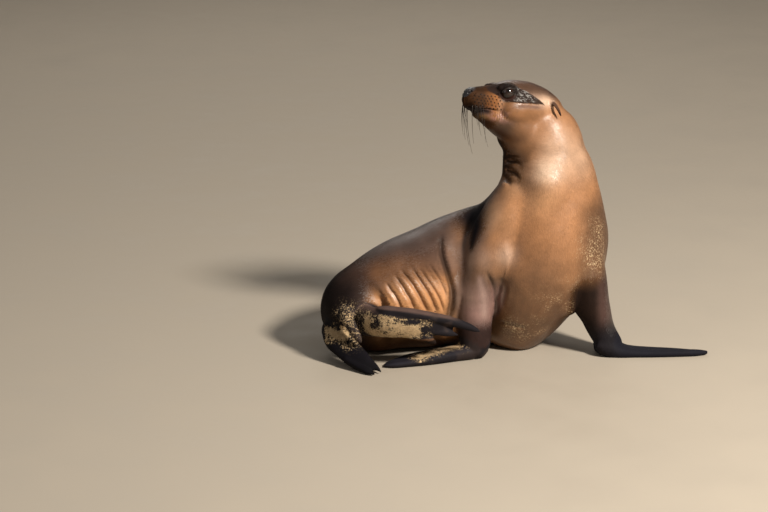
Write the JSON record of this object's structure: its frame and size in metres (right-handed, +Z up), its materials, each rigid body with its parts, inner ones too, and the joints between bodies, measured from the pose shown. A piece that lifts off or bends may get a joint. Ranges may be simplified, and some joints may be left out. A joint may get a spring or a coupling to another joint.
{
  "type": "sea lion",
  "caption": "Young eared seal sitting up with its head turned aside and its hind flippers folded forward, a life-size animal model for display.",
  "frame": {"origin": "middle of the footprint's bounding box, at floor level", "axes": "+Z up; +X towards the animal's left fore flipper, along its longest spread; the chest faces -Y and the snout points towards -X"},
  "size_m": [0.82, 0.3803, 0.5847],
  "materials": {
    "coat": "short dense fur lying flat, brown, damp sheen",
    "flipper_skin": "bare leathery skin, near black, dusted with sand",
    "dark_skin": "moist bare skin, black",
    "eye": "wet, very dark brown"
  },
  "bodies": {
    "root": {"head": "coat", "neck": "coat", "chest": "coat", "trunk": "coat", "hips": "coat", "ear_left": "coat", "ear_right": "coat", "tail": "flipper_skin", "fore_flipper_left": "flipper_skin", "fore_flipper_right": "flipper_skin", "hind_flipper_left": "flipper_skin", "hind_flipper_right": "flipper_skin", "nose": "dark_skin", "eye_left": "eye", "eye_right": "eye"}
  },
  "joints": []
}
